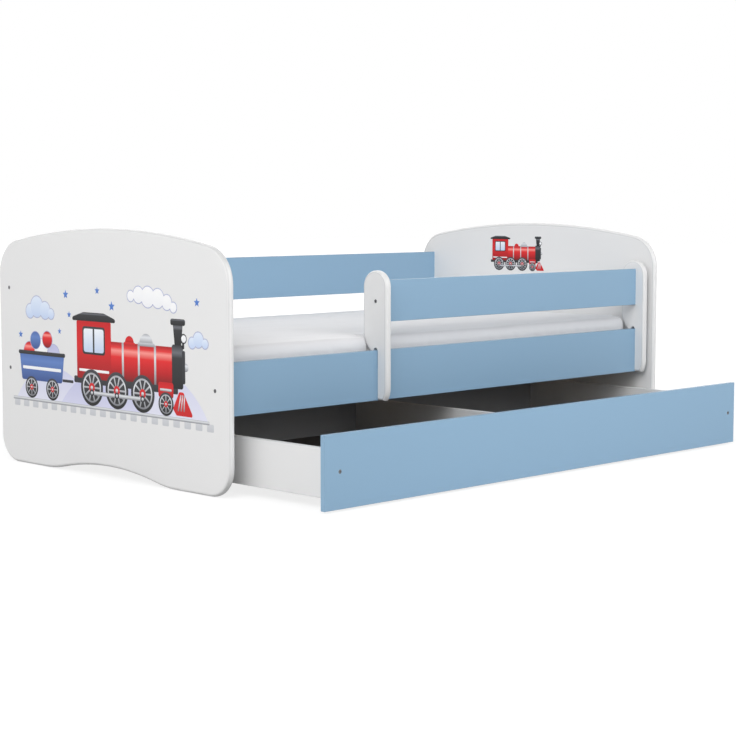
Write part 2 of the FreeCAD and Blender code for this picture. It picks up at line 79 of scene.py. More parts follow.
class Finish:  # a material or the world, its shader and the one maker of its nodes
    def __init__(self, name, constants, tree=None):
        if tree is None:
            self.material = bpy.data.materials.new(name)
            self.material.use_nodes = True
        self.tree = tree or self.material.node_tree
        self.output = next(node for node in self.tree.nodes if "OUTPUT" in node.type)
        self.shader = self.output.inputs["Surface"].links[0].from_node
        self.feed(self.shader, constants)
        self.place = self.node("ShaderNodeTexCoord", output="Object")

    def feed(self, target, values):
        for name, value in values.items():
            if isinstance(value, Wire):
                self.tree.links.new(value.socket, target.inputs[name])
            else:
                target.inputs[name].default_value = value

    def node(self, kind, settings=None, values=None, output=0):
        made = self.tree.nodes.new(kind)
        for name, value in (settings or {}).items():
            setattr(made, name, value)
        self.feed(made, values or {})
        return Wire(self, made.outputs[output])

    def cloud(self, scale, detail=2.0, stretch=(1, 1, 1)):  # soft noise, 0 to 1
        place = self.node("ShaderNodeMapping", {}, {"Vector": self.place, "Scale": stretch})
        values = {"Vector": place, "Scale": scale, "Detail": detail}
        return self.node("ShaderNodeTexNoise", {}, values)

    def mix(self, share, first, second):
        values = {0: share, 6: first, 7: second}
        return self.node("ShaderNodeMix", {"data_type": "RGBA"}, values, output=2)

    def ramp(self, value, low, high):  # 0 below low, 1 above high, smooth between
        values = {"Value": value, "From Min": low, "From Max": high}
        return self.node("ShaderNodeMapRange", {"interpolation_type": "SMOOTHSTEP"}, values)

    def most(self, wires):  # the largest of the values
        top = wires[0]
        for wire in wires[1:]:
            top = self.node("ShaderNodeMath", {"operation": "MAXIMUM"}, {0: top, 1: wire})
        return top

    def bump(self, height, depth, strength=1.0):
        values = {"Height": height, "Distance": depth, "Strength": strength}
        return self.node("ShaderNodeBump", {}, values)

    def axes(self, output):  # x, y and z of the place or the normal
        place = self.node("ShaderNodeTexCoord", output=output)
        return [self.node("ShaderNodeSeparateXYZ", {}, {0: place}, output=axis) for axis in range(3)]

    def seen(self):  # 1 for what the eye, a mirror or a glass sees
        rays = [self.node("ShaderNodeLightPath", output=f"Is {ray} Ray")
                for ray in ("Camera", "Glossy", "Transmission")]
        return self.node("ShaderNodeClamp", {}, {"Value": rays[0] + rays[1] + rays[2]})

    def blend(self, share, other):
        values = {0: share, 1: Wire(self, self.shader.outputs[0]), 2: other}
        self.feed(self.output, {"Surface": self.node("ShaderNodeMixShader", {}, values)})

    def close(self, values):
        self.feed(self.shader, values)
        return self


def ink(red, green, blue):  # a colour as picked on a screen
    def channel(value):
        share = value / 255
        return share / 12.92 if share <= 0.04045 else ((share + 0.055) / 1.055) ** 2.4

    return (channel(red), channel(green), channel(blue), 1.0)


def grey(value):
    return ink(value, value, value)


# Boards: satin faces with a fine peel, a hairline where a face turns into its rounded edge, and a painted
# shade: a darker tone on the rounded edges and the tops that dims their highlights

boards = {  # flat: the axes that the broad faces look along
    # edge: the darker tone of the rounded edges and the tops, a painted shade
    "white_board": {"face": grey(229), "edge": grey(212), "line": ink(204, 204, 205), "flat": [0]},
    "white_panel": {"face": grey(229), "edge": grey(196), "line": grey(224), "flat": [0]},
    "blue_board": {
        "face": ink(138, 172, 199), "edge": ink(112, 142, 166), "line": ink(130, 163, 189), "flat": [1],
    },
    "white_drawer_board": {"face": grey(228), "edge": grey(206), "line": grey(214), "flat": [0, 1]},
    # the drawer divider: greyer than the white drawer board, a painted shade for the dark under the bed
    "shade_pale_drawer_board": {"face": grey(214), "edge": grey(204), "line": grey(206), "flat": [0]},
    # the drawer back: a grey that stands in for the shade under the bed, a painted shade
    "shade_grey_drawer_board": {"face": ink(160, 160, 161), "edge": grey(150), "line": grey(148), "flat": [1]},
}
boardLook = {
    "ior": 1.46, "roughness": 0.40, "roughnessSpread": 0.10, "edgeGloss": 0.06,
    "mottleScale": 7.0, "mottle": 0.05, "speckScale": 350.0, "speck": 0.025,
    "peelScale": 700.0, "peelDepth": 0.05 * mm, "peelStrength": 0.6,
    "lineRise": (0.90, 0.97), "lineFall": (0.99, 0.999),  # the hairline, by how square the face is
    # faces past the turn, and the tops, take the edge tone, a painted shade
    "turn": (0.5, 0.985), "topShadeShare": 0.3,  # where a face counts as an edge
}


def boardFinish(slot, tones, look):
    board = Finish(slot + "_finish", {"IOR": look["ior"]})
    normal = [abs(axis) for axis in board.axes("Normal")]
    flat = board.most([normal[axis] for axis in tones["flat"]])
    upright = board.most(normal[:2]) - normal[2] * look["topShadeShare"]
    shadedEdge = 1 - board.ramp(upright, *look["turn"])
    line = board.ramp(flat, *look["lineRise"]) * (1 - board.ramp(flat, *look["lineFall"]))
    mottle = board.cloud(look["mottleScale"], detail=4.0)
    speck = board.cloud(look["speckScale"], detail=1.0)
    # painted shade: the rounded edges and the tops are darkened to dim their highlights
    tone = board.mix(shadedEdge, tones["face"], tones["edge"])
    tone = board.mix(line, tone, tones["line"])
    tone = board.mix(mottle * look["mottle"], tone, tones["line"])
    tone = board.mix(speck * look["speck"], tone, tones["line"])
    rough = look["roughness"] + mottle * look["roughnessSpread"] - shadedEdge * look["edgeGloss"]
    peel = board.bump(board.cloud(look["peelScale"]), look["peelDepth"], look["peelStrength"])
    return board.close({"Base Color": tone, "Roughness": rough, "Normal": peel})


# Wood: pine grain along the piece, and plain beech for the dowels

pineTones = {"light": ink(232, 205, 160), "dark": ink(204, 163, 108)}
woods = {
    "pineAlong": {"stretch": (1.5, 22.0, 22.0), **pineTones},
    "pineAcross": {"stretch": (22.0, 1.5, 22.0), **pineTones},
    "beech": {"stretch": (40.0, 40.0, 40.0), "light": ink(214, 178, 134), "dark": ink(190, 148, 104)},
}
woodLook = {
    "ior": 1.5, "roughness": 0.52, "roughnessSpread": 0.2,
    "yearScale": 1.6, "years": 9, "band": (0.25, 0.95), "bandShare": 0.75,
    "fibreScale": 14.0, "grainShare": 0.6, "grainDepth": 0.15 * mm, "grainStrength": 0.5,
}


def woodFinish(name, wood, look):
    pine = Finish(name + "_finish", {"IOR": look["ior"]})
    growth = pine.cloud(look["yearScale"], 3.0, wood["stretch"])
    fibre = pine.cloud(look["fibreScale"], 4.0, wood["stretch"])
    rings = pine.node("ShaderNodeMath", {"operation": "PINGPONG"}, {0: growth * look["years"], 1: 1.0})
    bands = pine.ramp(rings, *look["band"])
    shade = bands * look["bandShare"] + fibre * (1 - look["bandShare"])
    relief = bands * look["grainShare"] + fibre * (1 - look["grainShare"])
    return pine.close({
        "Base Color": pine.mix(shade, wood["light"], wood["dark"]),
        "Roughness": look["roughness"] + fibre * look["roughnessSpread"],
        "Normal": pine.bump(relief, look["grainDepth"], look["grainStrength"]),
    })


# Drawer floors: hardboard with pressed fibres; its dark tone is partly the board's own and partly a painted
# shade for the dark under the bed

hardboard = {
    "tone": ink(72, 71, 72), "fibre": ink(92, 89, 87), "fibreScale": 260.0, "stretch": (1.0, 0.35, 1.0),
    "blotchScale": 5.0, "fibreShare": 0.6, "pressDepth": 0.12 * mm, "pressStrength": 0.7,
    "ior": 1.48, "roughness": 0.55, "roughnessSpread": 0.25,
}


def hardboardFinish(look):
    board = Finish("hardboard_finish", {"IOR": look["ior"]})
    fibre = board.cloud(look["fibreScale"], 5.0, look["stretch"])
    blotch = board.cloud(look["blotchScale"], 3.0)
    shade = fibre * look["fibreShare"] + blotch * (1 - look["fibreShare"])
    return board.close({
        "Base Color": board.mix(shade, look["tone"], look["fibre"]),
        "Roughness": look["roughness"] + fibre * look["roughnessSpread"],
        "Normal": board.bump(fibre, look["pressDepth"], look["pressStrength"]),
    })


# Metal and plastic: zinc screws, forks and axles, moulded wheels

metal = {
    "tone": ink(150, 150, 152), "dull": ink(104, 105, 108), "dullScale": 120.0,
    "brushScale": 900.0, "brushStretch": (1.0, 1.0, 0.12), "brushDepth": 0.02 * mm, "brushStrength": 0.4,
    "roughness": 0.34, "roughnessSpread": 0.18,
}
wheel = {
    "tone": ink(44, 44, 46), "scuff": ink(82, 82, 84), "scuffScale": 420.0, "scuffSpan": (0.52, 0.78),
    "scuffShare": 0.7, "grainScale": 2600.0, "grainDepth": 0.02 * mm, "grainStrength": 0.4,
    "ior": 1.5, "roughness": 0.45, "roughnessSpread": 0.2,
}


def metalFinish(look):
    zinc = Finish("zinc_steel_finish", {"Metallic": 1.0})
    brushed = zinc.cloud(look["brushScale"], 3.0, look["brushStretch"])
    cloudy = zinc.cloud(look["dullScale"])
    return zinc.close({
        "Base Color": zinc.mix(cloudy, look["tone"], look["dull"]),
        "Roughness": look["roughness"] + brushed * look["roughnessSpread"],
        "Normal": zinc.bump(brushed, look["brushDepth"], look["brushStrength"]),
    })


def wheelFinish(look):
    plastic = Finish("wheel_plastic_finish", {"IOR": look["ior"]})
    scuff = plastic.ramp(plastic.cloud(look["scuffScale"], 3.0), *look["scuffSpan"])
    grain = plastic.cloud(look["grainScale"], 1.0)
    return plastic.close({
        "Base Color": plastic.mix(scuff * look["scuffShare"], look["tone"], look["scuff"]),
        "Roughness": look["roughness"] + scuff * look["roughnessSpread"],
        "Normal": plastic.bump(grain, look["grainDepth"], look["grainStrength"]),
    })


finishes = {slot: boardFinish(slot, tones, boardLook) for slot, tones in boards.items()}
finishes["hardboard"] = hardboardFinish(hardboard)
finishes["zinc_steel"] = metalFinish(metal)
finishes["wheel_plastic"] = wheelFinish(wheel)
finishes["beech_dowel"] = woodFinish("beech_dowel", woods["beech"], woodLook)
finishes["pine"] = woodFinish("pine_slat", woods["pineAcross"], woodLook)
finishes["pine_ledger"] = woodFinish("pine_ledger", woods["pineAlong"], woodLook)
ownFinish = {  # pieces whose finish isn't their slot's
    # the drawer back and the divider take tones darker than their white board, a painted shade
    "footboard": "white_panel", "drawer_back": "shade_grey_drawer_board", "drawer_divider": "shade_pale_drawer_board",
    "front_slat_ledger": "pine_ledger", "rear_slat_ledger": "pine_ledger",
}

for name, node in nodes.items():
    for slot in node.material_slots:
        finish = finishes.get(ownFinish.get(name, slot.material.name))
        if finish:
            slot.material = finish.material
print("finishes:", len(finishes))


# Mattress: a foam block in a loose knitted cover, pressed in by the two guard posts

mattress = {
    "startInset": 5 * mm, "cornerRadius": 46 * mm, "edgeRadius": 20 * mm, "roundSteps": 6, "voxel": 12 * mm,
    "pressure": 4.0, "slack": -0.012, "stiffness": 0.4, "quality": 4, "frames": 20, "cap": 4 * mm,
    "drawIn": 2.0 * mm, "drawFrom": (0.9, 0.8),  # sides hollow near the ends and the long edges
    "crown": 3.5 * mm, "topFade": (20 * mm, 10 * mm), "rimWidth": 220 * mm, "baseGap": 0.3 * mm,
    "waveDepth": 1.6 * mm, "foldDepth": 1.2 * mm, "fineShare": 0.6, "sideShare": 0.5,
    "puckerDepth": 1.4 * mm, "sharpness": 5,
    "dentMargin": 0.8 * mm, "dentSpread": 3.2 * mm, "dentReach": 90 * mm, "dentGap": 1.8 * mm,
    "dentFade": (22 * mm, 8 * mm), "heelRadius": 60 * mm, "heelTop": 45 * mm,
    "creaseDepth": 1.2 * mm, "creaseReach": 70 * mm, "creases": 9,
    "fineReach": 45 * mm, "fineCuts": 2, "fill": 0.85,
}
foldRuns = {  # rows of x, y, z and a shift: the place at which a noise is read
    "wave": ((3.0, 0, 0, 0), (0, 4.5, 0, 0), (0, 0, 0, 2.0)),
    "fold": ((4.0, 2.0, 0, 0), (-1.5, 11.0, 0, 0), (0, 0, 9.0, 0)),
    "fine": ((9.0, -4.0, 0, 0), (2.0, 16.0, 0, 0), (0, 0, 14.0, 7.0)),
    "pucker": ((16.0, 0, 5.0, 0), (0, 0, 0, 3.0), (0, 0, 7.0, 0)),
}
cover = {
    "tone": ink(226, 226, 227), "shade": ink(206, 206, 210),
    # the rounded top edge is darker: a painted shade that dims its highlight
    "rollShade": ink(208, 208, 210), "rollShadeSpan": (0.95, 1.002),  # the rounded top edge
    # the upright sides are darker than the top: a painted shade
    "borderShade": ink(220, 220, 222), "borderShadeSpan": (0.20, 0.80),  # the upright sides
    "stitch": 1.5 * mm, "stitchDepth": 0.12 * mm, "stitchStrength": 0.6, "loopHeight": 0.16,
    "wearScale": 9.0, "wearShare": 0.30, "fuzzScale": 1800.0, "fuzzShare": 0.15, "loopShadeShare": 0.15,
    "sheen": 0.25, "sheenRoughness": 0.5, "ior": 1.4, "roughness": 0.86, "roughnessSpread": 0.1,
}


def coverFinish(look):
    constants = {"Sheen Weight": look["sheen"], "Sheen Roughness": look["sheenRoughness"], "IOR": look["ior"]}
    knit = Finish("mattress_cover_finish", constants)
    turns = 2 * math.pi / look["stitch"]
    waves = [knit.node("ShaderNodeMath", {"operation": "SINE"}, {0: axis * turns})
             for axis in knit.axes("Object")]
    loops = (waves[0] + waves[1] + waves[2]) * look["loopHeight"] + 0.5  # around the middle height
    wear = knit.cloud(look["wearScale"], detail=4.0)
    fuzz = knit.cloud(look["fuzzScale"])
    # wear and fuzz vary the tone at random; the low loops are darker, a painted shade in the knit's hollows
    shade = wear * look["wearShare"] + fuzz * look["fuzzShare"] + (1 - loops) * look["loopShadeShare"]
    level = abs(knit.axes("Normal")[2])
    tone = knit.mix(shade, look["tone"], look["shade"])
    # painted shade: the rounded top edge and the upright sides take their own darker tones
    tone = knit.mix(1 - knit.ramp(level, *look["rollShadeSpan"]), tone, look["rollShade"])
    tone = knit.mix(1 - knit.ramp(level, *look["borderShadeSpan"]), tone, look["borderShade"])
    return knit.close({
        "Base Color": tone,
        "Roughness": look["roughness"] + fuzz * look["roughnessSpread"],
        "Normal": knit.bump(loops, look["stitchDepth"], look["stitchStrength"]),
    })


def smooth(value, low, high):
    share = min(max((value - low) / (high - low), 0.0), 1.0)
    return share * share * (3 - 2 * share)


def keepObject(name, mesh):
    piece = bpy.data.objects.new(name, mesh)
    scene.collection.objects.link(piece)
    return piece


def meshFrom(bm, name, rounded=True):
    mesh = bpy.data.meshes.new(name)
    bm.to_mesh(mesh)
    bm.free()
    for face in mesh.polygons:
        face.use_smooth = rounded
    return mesh


def bakedMesh(piece):  # the mesh as its modifiers leave it
    evaluated = piece.evaluated_get(bpy.context.evaluated_depsgraph_get())
    return bpy.data.meshes.new_from_object(evaluated)


def modified(mesh, name, kind, settings):  # the mesh as one modifier leaves it
    piece = keepObject(name, mesh)
    modifier = piece.modifiers.new(name, kind)
    for setting, value in settings.items():
        setattr(modifier, setting, value)
    made = bakedMesh(piece)
    bpy.data.objects.remove(piece)
    return made


def mattressBlock(spec, low, high):
    bm = bmesh.new()
    size = high - low - Vector((1, 1, 1)) * 2 * spec["startInset"]
    place = Matrix.Translation((low + high) / 2) @ Matrix.Diagonal((*size, 1))
    bmesh.ops.create_cube(bm, size=1.0, matrix=place)
    rounding = {"segments": spec["roundSteps"], "profile": 0.5, "affect": "EDGES", "material": -1}
    upright = [e for e in bm.edges if abs(e.verts[0].co.z - e.verts[1].co.z) > size.z / 2]
    bmesh.ops.bevel(bm, geom=upright, offset=spec["cornerRadius"], **rounding)
    rims = [e for e in bm.edges if abs(e.verts[0].co.z - e.verts[1].co.z) < size.z / 2]
    bmesh.ops.bevel(bm, geom=rims, offset=spec["edgeRadius"], **rounding)
    return meshFrom(bm, "mattress_block")


def puffed(mesh, spec):  # the cover swells a little on its foam, and its slack buckles
    piece = keepObject("mattress_cloth", mesh)
    rest = [v.co.copy() for v in mesh.vertices]
    cloth = piece.modifiers.new("Cloth", "CLOTH")
    cloth.settings.quality = spec["quality"]
    cloth.settings.use_pressure = True
    cloth.settings.uniform_pressure_force = spec["pressure"]
    cloth.settings.shrink_min = spec["slack"]
    cloth.settings.bending_stiffness = spec["stiffness"]
    cloth.settings.effector_weights.gravity = 0.0
    cloth.point_cache.frame_end = spec["frames"]
    for step in range(1, spec["frames"] + 1):
        scene.frame_set(step)
    made = bakedMesh(piece)
    scene.frame_set(1)
    bpy.data.objects.remove(piece)
    for vertex, start in zip(made.vertices, rest):
        move = vertex.co - start
        if move.length > spec["cap"]:
            vertex.co = start + move.normalized() * spec["cap"]
    return made


def refined(mesh, spec, posts, low):  # smaller faces round the posts, for a tight fit
    bm = bmesh.new()
    bm.from_mesh(mesh)
    reach = spec["fineReach"]
    near = set()
    for first, last in posts:
        for vertex in bm.verts:
            x, y, z = vertex.co
            if first.x - reach < x < last.x + reach and y < last.y + reach and z > low.z + reach:
                near.add(vertex)
    edges = [edge for edge in bm.edges if near.issuperset(edge.verts)]
    bmesh.ops.subdivide_edges(bm, edges=edges, cuts=spec["fineCuts"], use_grid_fill=True)
    return meshFrom(bm, "mattress_cover")


def noiseAt(place, run):
    x, y, z = place
    return noise.noise(Vector([a * x + b * y + c * z + shift for a, b, c, shift in run]))


def ridge(place, run, sharpness):  # thin soft folds, 0 to 1
    return (1 - abs(noiseAt(place, run))) ** sharpness


def layMattress(mesh, spec, runs, posts, low, high):
    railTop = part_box("front_side_rail")[1].z
    heelTop = railTop + spec["heelTop"]
    dentFrom, dentTo = (railTop - below for below in spec["dentFade"])
    middle = (low + high) / 2
    half = (high - low) / 2
    for vertex in mesh.vertices:
        point = vertex.co
        x, y, z = place = tuple(point)
        up = smooth(z, low.z + spec["topFade"][0], high.z - spec["topFade"][1])
        tall = 1 - min(abs(z - middle.z) / half.z, 1.0) ** 2
        edge = min(half.x - abs(x - middle.x), half.y - abs(y - middle.y))
        rim = 1 - smooth(edge, 0.0, spec["rimWidth"])
        for axis in (0, 1):  # the sides draw in
            inwards = middle[axis] - place[axis]
            near = smooth(abs(inwards), half[axis] * spec["drawFrom"][axis], half[axis])
            point[axis] += inwards / half[axis] * spec["drawIn"] * tall * near
        wave = noiseAt(place, runs["wave"])
        fold = ridge(place, runs["fold"], spec["sharpness"])
        fine = ridge(place, runs["fine"], spec["sharpness"])
        drop = wave * spec["waveDepth"] - fold * spec["foldDepth"]
        drop -= fine * rim * spec["foldDepth"] * spec["fineShare"]
        point.z += (drop + spec["crown"]) * up
        pucker = ridge(place, runs["pucker"], spec["sharpness"]) * spec["puckerDepth"] * rim
        towards = 1 if y < middle.y else -1
        sideFold = (fold + fine) * spec["sideShare"] * spec["foldDepth"] * (1 - up)
        point.y += (sideFold + pucker) * towards * tall
        heel = max(heelTop - z, 0.0)  # the post's round heel stands back towards the rail
        heel = spec["heelRadius"] - math.sqrt(max(spec["heelRadius"] ** 2 - heel ** 2, 0.0))
        for first, last in posts:
            wall = last.y + spec["dentGap"] - heel
            across = max(first.x - x, x - last.x, 0.0)
            beside = max(across - spec["dentMargin"], 0.0)
            fall = math.exp(-(beside / spec["dentSpread"]) ** 2)
            push = (wall - low.y) * (1 - smooth(y, low.y, low.y + spec["dentReach"]))
            point.y += max(push, 0.0) * fall * smooth(z, dentFrom, dentTo)
            away = math.hypot(across, max(y - wall, 0.0))
            bearing = math.atan2(y - wall, x - (first.x + last.x) / 2)
            star = math.cos(bearing * spec["creases"]) * math.exp(-away / spec["creaseReach"])
            point.z += star * spec["creaseDepth"] * up
        point.z = max(point.z, low.z + spec["baseGap"])
    mesh.update()


low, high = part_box("mattress")
guardPosts = [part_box("guard_post_middle"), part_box("guard_post_head")]
voxels = {"mode": "VOXEL", "voxel_size": mattress["voxel"]}
mattressMesh = modified(mattressBlock(mattress, low, high), "mattress_remesh", "REMESH", voxels)
mattressMesh = puffed(mattressMesh, mattress)
mattressMesh = modified(mattressMesh, "mattress_soften", "SUBSURF", {"levels": 1, "render_levels": 1})
mattressMesh = refined(mattressMesh, mattress, guardPosts, low)
layMattress(mattressMesh, mattress, foldRuns, guardPosts, low, high)
mattressMesh.materials.append(coverFinish(cover).material)
mattressPiece = keepObject("mattress_cover", mattressMesh)
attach(mattressPiece, "bed_frame")
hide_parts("mattress")
print("mattress:", len(mattressMesh.polygons), "faces")


# Prints: thin ink films on the end panels. u runs to the right and v up, in millimetres

film = {
    "thickness": 0.10, "layerStep": 0.03, "cutReach": 1e-6,
    "discSteps": 56, "cornerSteps": 5, "barRound": 0.3, "starWaist": 0.45, "starRound": 0.06,
    "puffRim": 2.2, "puffLift": 0.2, "puffLayers": 2,
    "ior": 1.48, "gloss": 0.25, "roughness": 0.46, "roughnessSpread": 0.1,
    "grainScale": 1400.0, "grainTone": ink(236, 236, 238), "grainShare": 0.03,
    "grainDepth": 0.02 * mm, "grainStrength": 0.3,
}
tints = {  # each from its foot to its top
    "red": [(0, ink(112, 8, 12)), (0.3, ink(186, 20, 26)), (0.62, ink(224, 40, 42)),
            (0.78, ink(248, 150, 142)), (0.86, ink(226, 54, 54)), (1, ink(164, 16, 22))],
    "cab": [(0, ink(150, 12, 18)), (0.55, ink(214, 32, 36)), (1, ink(196, 22, 28))],
    "plainRed": [(0, ink(196, 26, 30)), (1, ink(216, 40, 42))],
    "black": [(0, ink(16, 16, 18)), (0.7, ink(44, 45, 48)),
              (0.82, ink(104, 106, 112)), (1, ink(30, 30, 33))],
    "tyre": [(0, ink(14, 14, 16)), (1, ink(62, 63, 68))],
    "dark": [(0, ink(34, 35, 38)), (1, ink(52, 53, 57))],
    "silver": [(0, ink(120, 122, 128)), (0.7, ink(226, 228, 232)), (1, ink(168, 170, 176))],
    "steel": [(0, ink(142, 144, 150)), (1, ink(206, 208, 213))],
    "glass": [(0, ink(196, 212, 238)), (1, ink(240, 244, 250))],
    "wagon": [(0, ink(58, 82, 140)), (0.7, ink(98, 130, 192)), (1, ink(78, 106, 168))],
    "white": [(0, ink(240, 241, 244)), (1, ink(250, 250, 251))],
    "hill": [(0, ink(212, 213, 236)), (1, ink(190, 192, 226))],
    "farHill": [(0, ink(224, 225, 240)), (1, ink(208, 210, 234))],
    "cloud": [(0, ink(196, 212, 240)), (1, ink(224, 234, 249))],
    "line": [(0, ink(168, 172, 204)), (1, ink(178, 182, 212))],
    "star": [(0, ink(66, 110, 188)), (1, ink(92, 138, 210))],
    "sleeper": [(0, ink(196, 198, 203)), (1, ink(208, 210, 214))],
}


class Print:  # one picture; its shapes are cut from film and stacked in layers
    def __init__(self):
        self.bm = bmesh.new()
        self.colour = self.bm.loops.layers.float_color.new("ink")
        self.moveTo(0, 0, 1)

    def moveTo(self, u, v, scale):
        self.u, self.v, self.scale = u, v, scale

    def at(self, u, v):
        return Vector((self.u + u * self.scale, self.v + v * self.scale, 0))

    def cut(self, faces, place, normal, drop=False):  # the faces, divided at a plane
        parts = list({*faces, *(e for f in faces for e in f.edges), *(v for f in faces for v in f.verts)})
        plane = {"plane_co": place, "plane_no": normal, "dist": film["cutReach"]}
        made = bmesh.ops.bisect_plane(self.bm, geom=parts, clear_outer=drop, **plane)
        return [part for part in made["geom"] if isinstance(part, bmesh.types.BMFace)]

    def cure(self, faces, tint, layer):  # colours the film from low to high, then gives it its thickness
        stops = tints[tint]
        heights = [v.co.y for face in faces for v in face.verts]
        low, high = min(heights), max(heights)
        for share, _ in stops[1:-1]:
            faces = self.cut(faces, (0, low + (high - low) * share, 0), (0, 1, 0))
        for face in faces:
            for loop in face.loops:
                loop[self.colour] = self.tintAt(stops, (loop.vert.co.y - low) / (high - low))
        raised = bmesh.ops.extrude_face_region(self.bm, geom=faces)["geom"]
        height = Vector((0, 0, film["thickness"] + layer * film["layerStep"]))
        tops = [v for v in raised if isinstance(v, bmesh.types.BMVert)]
        bmesh.ops.translate(self.bm, vec=height, verts=tops)

    def tintAt(self, stops, share):
        for (start, first), (end, second) in zip(stops, stops[1:]):
            if share <= end + film["cutReach"]:
                return Vector(first).lerp(Vector(second), (share - start) / (end - start))
        return Vector(stops[-1][1])

    def disc(self, u, v, radius, tint, layer, ground=None):  # what lies below the ground is cut off
        matrix = Matrix.Translation(self.at(u, v))
        rounding = {"segments": film["discSteps"], "radius": radius * self.scale}
        made = bmesh.ops.create_circle(self.bm, cap_ends=True, matrix=matrix, **rounding)
        faces = list({face for vert in made["verts"] for face in vert.link_faces})
        if ground is not None:
            faces = self.cut(faces, self.at(0, ground), (0, -1, 0), drop=True)
        self.cure(faces, tint, layer)

    def plate(self, corners, radius, tint, layer):
        verts = [self.bm.verts.new(self.at(u, v)) for u, v in corners]
        self.bm.faces.new(verts)
        if radius:
            rounding = {"segments": film["cornerSteps"], "profile": 0.5, "affect": "VERTICES", "material": -1}
            verts = bmesh.ops.bevel(self.bm, geom=verts, offset=radius * self.scale, **rounding)["verts"]
        self.cure(list({face for vert in verts for face in vert.link_faces}), tint, layer)

    def block(self, u0, u1, v0, v1, radius, tint, layer):
        self.plate([(u0, v0), (u1, v0), (u1, v1), (u0, v1)], radius, tint, layer)

    def bar(self, start, end, width, tint, layer):
        along = Vector(end) - Vector(start)
        side = Vector((-along.y, along.x)).normalized() * width / 2
        corners = [Vector(start) - side, Vector(end) - side, Vector(end) + side, Vector(start) + side]
        self.plate(corners, width * film["barRound"], tint, layer)

    def star(self, u, v, radius, tint, layer, points=5):
        corners = []
        for turn in range(points * 2):
            reach = radius if turn % 2 == 0 else radius * film["starWaist"]
            angle = math.pi * (0.5 + turn / points)
            corners.append((u + reach * math.cos(angle), v + reach * math.sin(angle)))
        self.plate(corners, radius * film["starRound"], tint, layer)

    def puffs(self, spots, outline, tint, layer):  # overlapping discs with one outline
        for step, (u, v, radius) in enumerate(spots):
            lift = layer + step * film["puffLift"]
            self.disc(u, v, radius, outline, lift)
            self.disc(u, v, radius - film["puffRim"], tint, lift + film["puffLayers"])

    def finish(self, name, face, left, material):
        bmesh.ops.recalc_face_normals(self.bm, faces=self.bm.faces)
        toPanel = Matrix(((0, 0, -mm, face), (-mm, 0, 0, left), (0, mm, 0, 0), (0, 0, 0, 1)))
        bmesh.ops.transform(self.bm, matrix=toPanel, verts=self.bm.verts)
        mesh = meshFrom(self.bm, name, rounded=False)
        mesh.materials.append(material)
        piece = keepObject(name, mesh)
        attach(piece, "bed_frame")
        return piece


def inkFinish(look):
    inks = Finish("print_ink_finish", {"IOR": look["ior"], "Specular IOR Level": look["gloss"]})
    tone = inks.node("ShaderNodeVertexColor", {"layer_name": "ink"})
    grain = inks.cloud(look["grainScale"], detail=1.0)
    return inks.close({
        "Base Color": inks.mix(grain * look["grainShare"], tone, look["grainTone"]),
        "Roughness": look["roughness"] + grain * look["roughnessSpread"],
        "Normal": inks.bump(grain, look["grainDepth"], look["grainStrength"]),
    })


spokedWheel = {  # shares of the wheel's radius
    "rim": 0.82, "well": 0.72, "spoke": 0.74, "spokeWidth": 0.10, "hub": 0.26, "cap": 0.11,
}


def drawWheel(art, u, v, radius, spokes, layer):
    part = {name: share * radius for name, share in spokedWheel.items()}
    art.disc(u, v, radius, "tyre", layer)
    art.disc(u, v, part["rim"], "silver", layer + 1)
    art.disc(u, v, part["well"], "dark", layer + 2)
    for turn in range(spokes):
        angle = 2 * math.pi * turn / spokes
        tip = (u + part["spoke"] * math.cos(angle), v + part["spoke"] * math.sin(angle))
        art.bar((u, v), tip, part["spokeWidth"], "steel", layer + 3)
    art.disc(u, v, part["hub"], "plainRed", layer + 4)
    art.disc(u, v, part["cap"], "silver", layer + 5)


def drawEngine(art):  # a toy steam engine, 430 long, with the rail at v 0
    art.block(4, 384, 50, 66, 4, "dark", 3)  # running board and cow catcher
    art.plate([(366, 18), (388, 56), (402, 56), (432, 10), (432, 4), (378, 4)], 3, "plainRed", 4)
    for step in range(3):
        art.bar((384 + 10 * step, 14), (394 + 6 * step, 50), 3.5, "silver", 5)
    art.block(140, 372, 66, 152, 5, "red", 5)  # boiler and smokebox
    art.block(364, 402, 62, 158, 6, "black", 6)
    art.block(399, 409, 74, 146, 4, "dark", 7)
    art.disc(411, 110, 9, "silver", 6)
    for u in (186, 244, 302):
        art.block(u, u + 7, 66, 152, 0, "silver", 6)
    art.plate([(374, 156), (396, 156), (402, 204), (368, 204)], 2, "black", 5)  # chimney and domes
    art.block(360, 410, 200, 214, 5, "black", 7)
    art.disc(274, 152, 24, "silver", 6, ground=150)
    art.block(244, 304, 148, 156, 3, "steel", 7)
    art.disc(214, 152, 16, "cab", 6, ground=150)
    art.block(194, 234, 148, 154, 3, "plainRed", 7)
    art.block(16, 146, 62, 196, 6, "cab", 7)  # cab with its window and roof
    art.block(24, 138, 78, 84, 2, "white", 8)
    art.block(38, 124, 118, 182, 8, "dark", 8)
    art.block(43, 119, 123, 177, 6, "glass", 9)
    art.block(78, 84, 118, 182, 0, "dark", 10)
    art.plate([(0, 194), (162, 194), (162, 202), (120, 214), (42, 214), (0, 202)], 4, "black", 8)
    art.block(316, 368, 40, 74, 6, "cab", 8)  # cylinder, wheels and coupling rod
    art.block(322, 362, 54, 60, 2, "silver", 9)
    for u in (72, 166, 260):
        drawWheel(art, u, 42, 42, 10, 9)
    drawWheel(art, 342, 26, 26, 8, 9)
    art.bar((64, 30), (268, 30), 9, "silver", 15)
    for u in (72, 166, 260):
        art.disc(u, 30, 8, "dark", 16)
        art.disc(u, 30, 4, "silver", 17)
    art.bar((403, 150), (403, 170), 7, "dark", 6)  # lamp
    art.disc(404, 172, 11, "dark", 7)
    art.disc(405, 172, 8, "white", 8)


